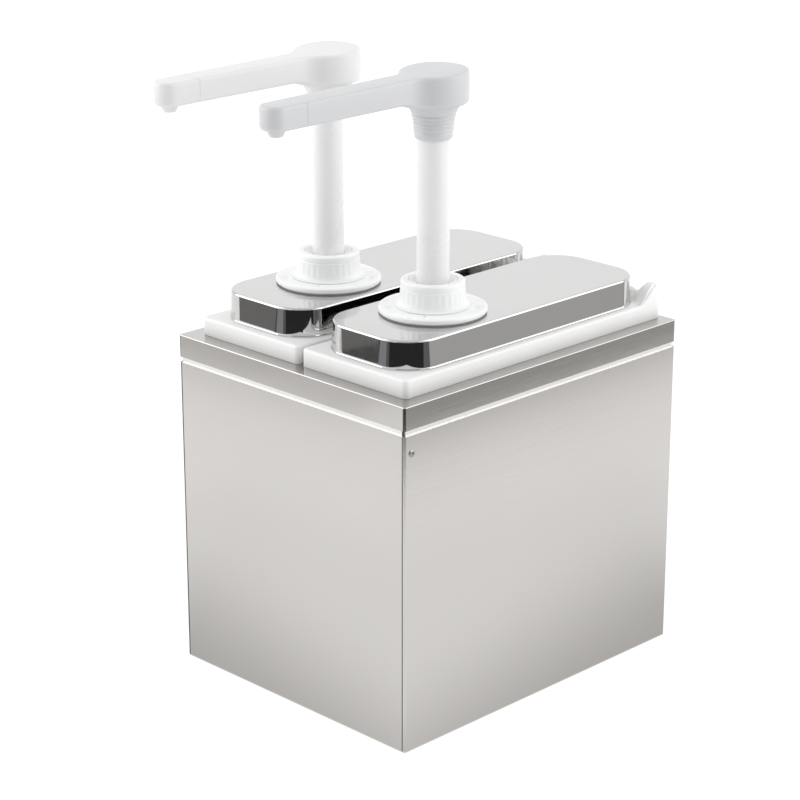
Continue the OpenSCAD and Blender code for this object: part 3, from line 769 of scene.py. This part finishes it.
def build_plug(unit, slot):
    """Lock plug: plain skirt, stepped screw rings, then a flare up to the head."""
    low, high = unit.plug
    stem_r = (unit.stem[1].x - unit.stem[0].x) / 2 + STEM_SLIP
    top_r = (high.x - low.x) / 2
    z = low.z
    outline = [(stem_r, z, 0.3 * MM), (11.3 * MM, z, 1.0 * MM), (11.45 * MM, z + 4.6 * MM, 0)]
    rings = [(11.9, 5.1), (12.15, 7.7), (12.45, 10.2), (13.0, 12.7)]
    for radius, height in rings:
        outline += [((radius - 0.6) * MM, z + (height - 0.25) * MM, 0.2 * MM),
                    (radius * MM, z + (height + 0.35) * MM, 0.3 * MM),
                    (radius * MM, z + (height + 1.35) * MM, 0.3 * MM),
                    ((radius - 0.3) * MM, z + (height + 1.75) * MM, 0.2 * MM)]
    outline += [(13.4 * MM, z + 15.3 * MM, 0.3 * MM), (14.3 * MM, z + 17.3 * MM, 2.0 * MM),
                (15.4 * MM, z + 19.0 * MM, 1.5 * MM), (top_r + 1.6 * MM, high.z - 0.5 * MM, 0.5 * MM),
                (top_r + 1.2 * MM, high.z, 0), (stem_r, high.z, 0)]
    piece = lathe(f"lock_plug_{unit.side}_ringed", fillet(outline, steps=4), unit.axis, 144)
    place(piece, f"head_{unit.side}", slot, MATERIALS[slot], f"lock_plug_{unit.side}")


def head_stations(unit):
    """Right half of the head's outline, seen from above, from the arm's tip to the back of the drum.

    Each station is (x, y) about the pump's axis; the seam lies exactly on a station."""
    drum_r = (unit.head[1].x - unit.head[0].x) / 2
    arm_half = (unit.cap[1].x - unit.cap[0].x) / 2
    tip = unit.cap[0].y - unit.axis.y
    seam = unit.head[0].y - unit.axis.y
    tip_r, blend = arm_half - 0.6 * MM, 15 * MM
    tip_steps, blend_steps, drum_steps = 16, 10, 40
    stations = [(0, tip)]
    for k in range(tip_steps + 1):
        angle = math.radians(-90 + 90 * k / tip_steps)
        stations.append((arm_half - tip_r + tip_r * math.cos(angle), tip + tip_r + tip_r * math.sin(angle)))
    fillet_x = arm_half + blend
    fillet_y = -math.sqrt((drum_r + blend) ** 2 - fillet_x ** 2)
    y_now = tip + tip_r
    for stop, count in ((seam, 4), (fillet_y, 14)):
        stations += [(arm_half, y_now + (stop - y_now) * k / count) for k in range(1, count + 1)]
        y_now = stop
    meet = math.atan2(-fillet_y, -fillet_x)
    for k in range(1, blend_steps + 1):
        angle = math.pi + (meet - math.pi) * k / blend_steps
        stations.append((fillet_x + blend * math.cos(angle), fillet_y + blend * math.sin(angle)))
    start = math.atan2(fillet_y, fillet_x)
    for k in range(1, drum_steps + 1):
        angle = start + (math.pi / 2 - start) * k / drum_steps
        stations.append((drum_r * math.cos(angle), drum_r * math.sin(angle)))
    return stations, seam


def head_heights(unit):
    """Functions of y, about the pump's axis, for the underside and the top of the head and arm."""
    low, high = unit.head
    drum_r = (high.x - low.x) / 2
    arm_under = unit.nozzle[0].z + 3.8 * MM
    drum_under = low.z - 0.5 * MM
    shoulder = high.z - 0.5 * MM
    back_rise = 1.6 * MM
    tip_top = unit.cap[1].z
    tip = unit.cap[0].y - unit.axis.y

    def under(y):
        return arm_under + (drum_under - arm_under) * swell((-drum_r - 1.0 * MM - y) / (9 * MM))

    def top(y):
        if y > -drum_r:
            return shoulder + back_rise * (1 - swell((y + drum_r) / (2 * drum_r)))
        return shoulder + (tip_top - shoulder) * (-drum_r - y) / (-drum_r - tip)

    return under, top


def blade(name, unit, stations, open_front, open_back):
    """Closed part of the head or arm between its first and last stations."""
    under, top = head_heights(unit)
    bottom_r, top_r, edge_steps = 2.6 * MM, 2.0 * MM, 6
    full, _ = head_stations(unit)
    lookup = {s: i for i, s in enumerate(full)}
    layers = []
    for k in range(edge_steps + 1):
        angle = math.radians(90 * k / edge_steps)
        layers.append((bottom_r * (1 - math.sin(angle)), "under", bottom_r * (1 - math.cos(angle))))
    for k in range(edge_steps + 1):
        angle = math.radians(90 * k / edge_steps)
        layers.append((top_r * (1 - math.cos(angle)), "top", -top_r * (1 - math.sin(angle))))

    def normal(station):
        i = lookup[station]
        before = full[i - 1] if i > 0 else (-full[1][0], full[1][1])
        after = full[i + 1] if i + 1 < len(full) else (-full[-2][0], full[-2][1])
        run = Vector(after) - Vector(before)
        return Vector((run.y, -run.x)).normalized()

    normals = [normal(s) for s in stations]
    verts, right, left = [], [], []
    for inset, base, offset in layers:
        row_right, row_left = [], []
        for station, n in zip(stations, normals):
            x = max(0.0, station[0] - n.x * inset)
            y = station[1] - n.y * inset
            height = (under if base == "under" else top)(station[1]) + offset
            row_right.append(len(verts))
            verts.append((unit.axis.x + x, unit.axis.y + y, height))
            if x < 1e-7:
                row_left.append(row_right[-1])
            else:
                row_left.append(len(verts))
                verts.append((unit.axis.x - x, unit.axis.y + y, height))
        right.append(row_right)
        left.append(row_left)
    faces = []
    count = len(stations)
    for a in range(len(layers) - 1):
        for k in range(count - 1):
            faces.append((right[a][k], right[a][k + 1], right[a + 1][k + 1], right[a + 1][k]))
            faces.append((left[a][k], left[a + 1][k], left[a + 1][k + 1], left[a][k + 1]))
    for rows_r, rows_l in ((right[0], left[0]), (right[-1], left[-1])):
        for k in range(count - 1):
            loop = [rows_r[k], rows_r[k + 1], rows_l[k + 1], rows_l[k]]
            face = tuple(dict.fromkeys(loop))
            if len(face) > 2:
                faces.append(face)
    for is_open, k in ((open_front, 0), (open_back, count - 1)):
        if is_open:
            faces.append(tuple([right[a][k] for a in range(len(layers))]
                               + [left[a][k] for a in range(len(layers) - 1, -1, -1)]))
    faces = [f for f in faces if len(set(f)) == len(f)]
    return make_piece(name, verts, faces, sharp_deg=55)


def build_head(unit, slot):
    """Press head with its arm, the arm's end cap behind a fine seam, and the nozzle under it."""
    stations, seam = head_stations(unit)
    at_seam = next(i for i, s in enumerate(stations) if abs(s[1] - seam) < 1e-9)
    gap = 0.07 * MM
    head = blade(f"spout_head_{unit.side}_body", unit, stations[at_seam:], True, False)
    cap = blade(f"arm_end_cap_{unit.side}_body", unit, stations[:at_seam + 1], False, True)
    for piece, sign in ((head, 1), (cap, -1)):
        for v in piece.data.vertices:
            if abs(v.co.y - unit.axis.y - seam) < 1e-6:
                v.co.y += sign * gap
        soften(piece, 0.15 * MM, angle_deg=60)
    place(head, f"head_{unit.side}", slot, MATERIALS[slot], f"spout_head_{unit.side}")
    place(cap, f"head_{unit.side}", slot, MATERIALS[slot], f"arm_end_cap_{unit.side}")

    low, high = unit.nozzle
    axis = Vector(((low.x + high.x) / 2, (low.y + high.y) / 2))
    root = low.z + 4.6 * MM
    hollow_r, hollow_top = 2.9 * MM, low.z + 3.6 * MM
    outline = [(0, root + 1 * MM, 0), (5.9 * MM, root + 1 * MM, 0), (5.7 * MM, root - 0.8 * MM, 0.5 * MM),
               (4.9 * MM, root - 2.0 * MM, 1.2 * MM), (3.8 * MM, low.z, 0.7 * MM),
               (hollow_r, low.z, 0.25 * MM), (hollow_r, hollow_top, 0), (0, hollow_top, 0)]
    profile = fillet(outline, closed=False, steps=6)
    nozzle = lathe(f"nozzle_tip_{unit.side}_spout", profile, axis, 96, closed=False)
    place(nozzle, f"head_{unit.side}", slot, MATERIALS[slot], f"nozzle_tip_{unit.side}")


def build_spring(unit):
    """Coil spring with closed, flattened end turns."""
    low, high = unit.spring
    wire = 0.8 * MM
    coil_r = (high.x - low.x) / 2 - wire
    turns, per_turn, sides = 11, 40, 12
    height = high.z - low.z - 2 * wire
    rings = []
    lead = 1.0
    for i in range(turns * per_turn + 1):
        turn = i / per_turn
        share = max(0.0, min(1.0, (turn - lead) / (turns - 2 * lead)))
        closed_part = (min(turn, lead) + max(0.0, turn - turns + lead)) * 2 * wire
        z = low.z + wire + closed_part + share * (height - 4 * wire * lead)
        angle = math.tau * turn
        ring = []
        for k in range(sides):
            b = math.tau * k / sides
            r = coil_r + wire * math.cos(b)
            ring.append(Vector((unit.axis.x + r * math.cos(angle), unit.axis.y + r * math.sin(angle),
                                z + wire * math.sin(b))))
        rings.append(ring)
    piece = loft(f"return_spring_{unit.side}_coil", rings, sharp_deg=50)
    place(piece, f"lid_{unit.side}", "spring_steel", MATERIALS["spring_steel"], f"return_spring_{unit.side}")
    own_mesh(piece)


# ---- CAD nodes that stay, with procedural finishes ----

STAYING = {
    "base_pan": "case_steel", "neck_frame": "neck_steel", "base_gasket": "seal_grey",
    "lock_nut": "pump_white", "cylinder_gasket": "seal_grey", "cylinder": "natural_plastic",
    "foot_valve": "pump_white", "inlet_ball": "ball_steel", "dip_tube": "natural_plastic",
    "piston": "pump_white", "piston_seal": "seal_grey", "outlet_ball": "ball_steel",
}


def finish_nodes():
    for part, finish in STAYING.items():
        names = [part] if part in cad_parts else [f"{part}_{side}" for side in UNITS]
        for name in names:
            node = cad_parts[name]
            for slot in node.material_slots:
                slot.material = MATERIALS[finish]


# ---- Studio ----

def emitter(name, colour, strength):
    material = bpy.data.materials.new(name)
    material.use_nodes = True
    nodes, links = material.node_tree.nodes, material.node_tree.links
    nodes.clear()
    emission = nodes.new("ShaderNodeEmission")
    emission.inputs["Color"].default_value = (*colour, 1)
    emission.inputs["Strength"].default_value = strength
    output = nodes.new("ShaderNodeOutputMaterial")
    links.new(emission.outputs["Emission"], output.inputs["Surface"])
    return material


def stage_card(name, corners, colour, strength, hidden_from=("camera", "diffuse", "shadow")):
    """Glowing card through 3-D corners, out of the camera's sight, for the steel to reflect."""
    mesh = bpy.data.meshes.new(name)
    mesh.from_pydata(corners, [], [tuple(range(len(corners)))])
    mesh.materials.append(emitter(name, colour, strength))
    card = bpy.data.objects.new(name, mesh)
    bpy.context.scene.collection.objects.link(card)
    for ray in hidden_from:
        setattr(card, f"visible_{ray}", False)
    return card


def floor_card(name, corners, colour, strength, height=0.002):
    return stage_card(name, [(x, y, height) for x, y in corners], colour, strength)


def wall_corners(start, end, z0, z1):
    return [(*start, z0), (*end, z0), (*end, z1), (*start, z1)]


def box_corners(x0, x1, y0, y1):
    return [(x0, y0), (x1, y0), (x1, y1), (x0, y1)]


def foot_card():
    """Graduated card round the case's foot: the soft fall-off of light that its sides reflect."""
    x, y, reach = CASE_HIGH.x, CASE_HIGH.y, 0.22
    corners = box_corners(-x - reach, x + reach, -y - reach, y + reach)
    card = floor_card("card_foot", corners, (1, 1, 1), 1.0, 0.0008)
    material = card.data.materials[0]
    nodes, links = material.node_tree.nodes, material.node_tree.links

    def maths(operation, a, b=None):
        node = nodes.new("ShaderNodeMath")
        node.operation = operation
        for socket, value in zip(node.inputs, (a, b)):
            if isinstance(value, float):
                socket.default_value = value
            elif value is not None:
                links.new(value, socket)
        return node.outputs["Value"]

    split = nodes.new("ShaderNodeSeparateXYZ")
    links.new(nodes.new("ShaderNodeTexCoord").outputs["Object"], split.inputs["Vector"])
    away = maths("MAXIMUM", maths("SUBTRACT", maths("ABSOLUTE", split.outputs["X"]), x),
                 maths("SUBTRACT", maths("ABSOLUTE", split.outputs["Y"]), y))
    lift_at_near_corner = 0.30
    near_corner = maths("SUBTRACT", split.outputs["X"], split.outputs["Y"])
    away = maths("ADD", away, maths("MULTIPLY", near_corner, lift_at_near_corner))
    fit = nodes.new("ShaderNodeMapRange")
    fit.interpolation_type = "SMOOTHSTEP"
    for socket, value in (("From Min", -0.015), ("From Max", 0.17), ("To Min", 0.64), ("To Max", 1.05)):
        fit.inputs[socket].default_value = value
    links.new(away, fit.inputs["Value"])
    links.new(fit.outputs["Result"], nodes["Emission"].inputs["Strength"])


def softbox(name, place_at, target, size, power):
    data = bpy.data.lights.new(name, "AREA")
    data.shape = "RECTANGLE"
    data.size, data.size_y = size
    data.energy = power
    light = bpy.data.objects.new(name, data)
    bpy.context.scene.collection.objects.link(light)
    light.location = place_at
    light.rotation_euler = (Vector(target) - Vector(place_at)).to_track_quat("-Z", "Y").to_euler()


def build_floor():
    reach, drop = 8.0, -0.0004
    floor_mesh = bpy.data.meshes.new("floor")
    corners = box_corners(-reach, reach, -reach, reach)
    floor_mesh.from_pydata([(x, y, 0) for x, y in corners], [], [(0, 1, 2, 3)])
    floor = bpy.data.objects.new("floor", floor_mesh)
    bpy.context.scene.collection.objects.link(floor)
    paper = Shader("floor_paper", Roughness=0.9, Emission_Strength=0.94)
    paper.shader.inputs["Emission Color"].default_value = (1.0, 1.0, 1.0, 1)
    paper.tint(paper.ranged(paper.noise(3, 2.0), 0, 1), (0.15, 0.15, 0.15), (0.17, 0.17, 0.17))
    paper.shader.inputs["Specular IOR Level"].default_value = 0.1
    floor_mesh.materials.append(paper.material)
    floor.location.z = drop


def build_cards():
    """Glowing cards for the steel to reflect: on the floor, behind the object and behind the camera."""
    front, far = -0.64, 2.2
    warm, cool, neutral = (1, 0.98, 0.97), (0.92, 0.94, 1.0), (1, 1, 1)
    for name, x0, x1, colour, strength in (("card_left_dark", -far, -0.59, warm, 0.19),
                                           ("card_left_black", -0.59, -0.52, warm, 0.09),
                                           ("card_left_blue", -0.52, -0.19, cool, 0.30),
                                           ("card_left_dim", -0.19, -0.05, neutral, 0.12)):
        floor_card(name, box_corners(x0, x1, -far, front), colour, strength)
    floor_card("card_front_dark", [(-0.05, front), (-0.05, -far), (far, -far), (far, -0.1), (0.62, -0.1),
                                   (0.5, -0.5)], neutral, 0.027)
    floor_card("card_right_dim", box_corners(0.62, far, -0.1, 0.2), neutral, 0.145)
    floor_card("card_right_grey", box_corners(0.565, far, 0.2, far), (1.0, 0.975, 0.95), 0.50)
    floor_card("card_right_edge", box_corners(0.482, 0.565, 0.15, 1.1), (1.0, 0.985, 0.96), 0.40)
    floor_card("card_rim_left", box_corners(-0.78, -0.49, front, -0.51), (1.0, 0.985, 0.965), 0.76)
    floor_card("card_rim_middle", box_corners(-0.49, -0.36, front, -0.51), (1.0, 0.99, 0.98), 0.86)
    floor_card("card_far_left", box_corners(-far, -0.75, -0.6, 0.7), (1.0, 0.99, 0.98), 1.05)
    stage_card("card_back_bright", wall_corners((-2.6, 0.4), (0.4, 2.6), 0.30, far), neutral, 1.05)
    stage_card("camera_side_flag", wall_corners((0.6, -far), (far, -0.6), 0.003, 1.9), neutral, 0.42,
               hidden_from=("camera",))


def build_studio():
    build_floor()
    world = bpy.data.worlds.new("studio")
    bpy.context.scene.world = world
    world.use_nodes = True
    backdrop = world.node_tree.nodes["Background"]
    backdrop.inputs["Color"].default_value = (1.0, 1.0, 1.0, 1)
    backdrop.inputs["Strength"].default_value = 0.86
    foot_card()
    aim = (0, 0, 0.25)
    softbox("left_softbox", (-1.25, -1.1, 1.0), aim, (1.7, 1.9), 18)
    softbox("right_softbox", (1.25, 0.9, 1.0), aim, (1.6, 1.9), 14)
    softbox("top_softbox", (-0.2, 0.1, 1.9), aim, (1.4, 1.4), 0.1)
    build_cards()


def build_camera():
    data = bpy.data.cameras.new("camera")
    data.lens = 110.98
    data.sensor_width = 36
    data.clip_start, data.clip_end = 0.05, 40
    camera = bpy.data.objects.new("camera", data)
    bpy.context.scene.collection.objects.link(camera)
    camera.location = (1.02779, -1.05197, 0.67534)
    camera.rotation_euler = (math.radians(70.986), 0, math.radians(45.057))
    bpy.context.scene.camera = camera


def main():
    build_case()
    for side in UNITS:
        unit = Unit(side)
        head_slot = "head_white" if side == "left" else "head_grey"
        build_container(unit)
        build_lid(unit)
        build_base(unit)
        build_collar(unit)
        build_guide(unit)
        build_stem(unit)
        build_plug(unit, head_slot)
        build_head(unit, head_slot)
        build_spring(unit)
    finish_nodes()
    build_studio()
    build_camera()
    bpy.context.scene.view_settings.view_transform = "Standard"


main()
